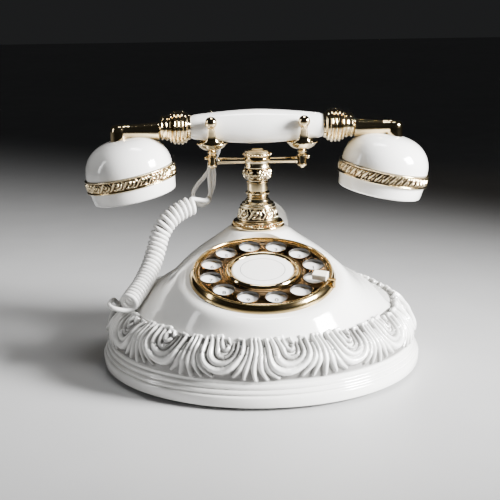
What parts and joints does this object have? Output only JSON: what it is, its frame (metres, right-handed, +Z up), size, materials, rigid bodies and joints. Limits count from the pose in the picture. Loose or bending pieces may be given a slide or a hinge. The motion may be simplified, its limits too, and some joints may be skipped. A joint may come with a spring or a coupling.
{
  "type": "bedroom telephone",
  "caption": "Ornate bedroom telephone: round white base with tilted rotary dial, gilt pillar with sprung cradle forks, lift-off handset with two domed cups and a curly cord.",
  "frame": {"origin": "on the table, under the middle of the round base", "axes": "+X to the right along the handset, +Y to the back, +Z up"},
  "size_m": [0.2374, 0.214, 0.1662],
  "materials": {
    "porcelain_white": "glossy white glaze",
    "pale_gold": "polished pale gold plate over cast metal",
    "dial_plate_white": "satin white enamel with small dark digits",
    "cord_white": "soft white vinyl",
    "plain_steel": "plain zinc-plated steel",
    "brass": "plain machined brass",
    "black_rubber": "matt black rubber",
    "circuit_board": "brown laminate circuit board",
    "dark_moulding": "dark moulded plastic"
  },
  "bodies": {
    "base": {"base_housing": "porcelain_white", "bottom_plate": "plain_steel", "foot_front_right": "black_rubber", "foot_back_right": "black_rubber", "foot_back_left": "black_rubber", "foot_front_left": "black_rubber", "bottom_screw_1": "plain_steel", "bottom_screw_2": "plain_steel", "bottom_screw_3": "plain_steel", "circuit_board": "circuit_board", "hook_switch": "dark_moulding", "hook_spring": "plain_steel", "ringer_gong": "plain_steel", "ringer_coil": "brass", "line_socket": "dark_moulding", "cord_boot": "porcelain_white", "dial_bezel": "pale_gold", "number_plate": "dial_plate_white", "finger_stop": "pale_gold", "dial_plate": "plain_steel", "return_spring": "plain_steel", "pillar_foot": "pale_gold", "pillar_bell": "pale_gold", "pillar_shaft": "pale_gold", "pillar_capital": "pale_gold", "centre_tube": "plain_steel", "cord_coil": "cord_white", "cord_upper_lead": "cord_white", "cord_lower_lead": "cord_white"},
    "dial_wheel": {"finger_wheel": "pale_gold", "centre_ring": "pale_gold", "centre_card": "porcelain_white", "dial_shaft": "plain_steel", "main_gear": "brass"},
    "pulse_train": {"pulse_gear": "brass"},
    "clapper": {"ringer_clapper": "plain_steel"},
    "cradle": {"cradle_crown": "pale_gold", "plunger_rod": "plain_steel", "crossbar": "pale_gold", "fork_left": "pale_gold", "fork_right": "pale_gold", "prong_left_front": "pale_gold", "prong_left_back": "pale_gold", "prong_right_front": "pale_gold", "prong_right_back": "pale_gold"},
    "handset": {"handset_grip": "porcelain_white", "tie_rod": "plain_steel", "handset_gland": "porcelain_white", "collar_left": "pale_gold", "collar_right": "pale_gold", "arm_left": "pale_gold", "arm_right": "pale_gold", "cup_shell_left": "porcelain_white", "cup_shell_right": "porcelain_white", "cup_band_left": "pale_gold", "cup_band_right": "pale_gold", "mouth_cap": "porcelain_white", "ear_cap": "porcelain_white", "receiver_capsule": "plain_steel", "transmitter_capsule": "plain_steel"}
  },
  "joints": [
    {"name": "dial_spin", "type": "hinge", "parent": "base", "child": "dial_wheel", "pos_m": [0, -0.0354, 0.0705], "axis": [0, -0.2538, 0.9673], "range_deg": [-302, 0], "stiffness_Nm_per_rad": 0.006, "springref_deg": 34.38},
    {"name": "pulse_spin", "type": "hinge", "parent": "base", "child": "pulse_train", "pos_m": [0.02175, -0.03185, 0.05696], "axis": [0, -0.2538, 0.9673], "range_deg": [0, 906]},
    {"name": "clapper_swing", "type": "hinge", "parent": "base", "child": "clapper", "pos_m": [-0.027, 0.02, 0.012], "axis": [0, 0, 1], "range_deg": [-2.5, 2.5]},
    {"name": "hook_lift", "type": "slide", "parent": "base", "child": "cradle", "axis": [0, 0, 1], "range_m": [0, 0.004], "stiffness_N_per_m": 200, "springref_m": 0.012, "deforming": ["hook_spring"]},
    {"name": "handset_lift", "type": "slide", "parent": "cradle", "child": "handset", "axis": [0, 0, 1], "range_m": [0, 0.06]}
  ],
  "couplings": [
    {"joint": "pulse_spin", "follows": "dial_spin", "ratio": -3}
  ]
}
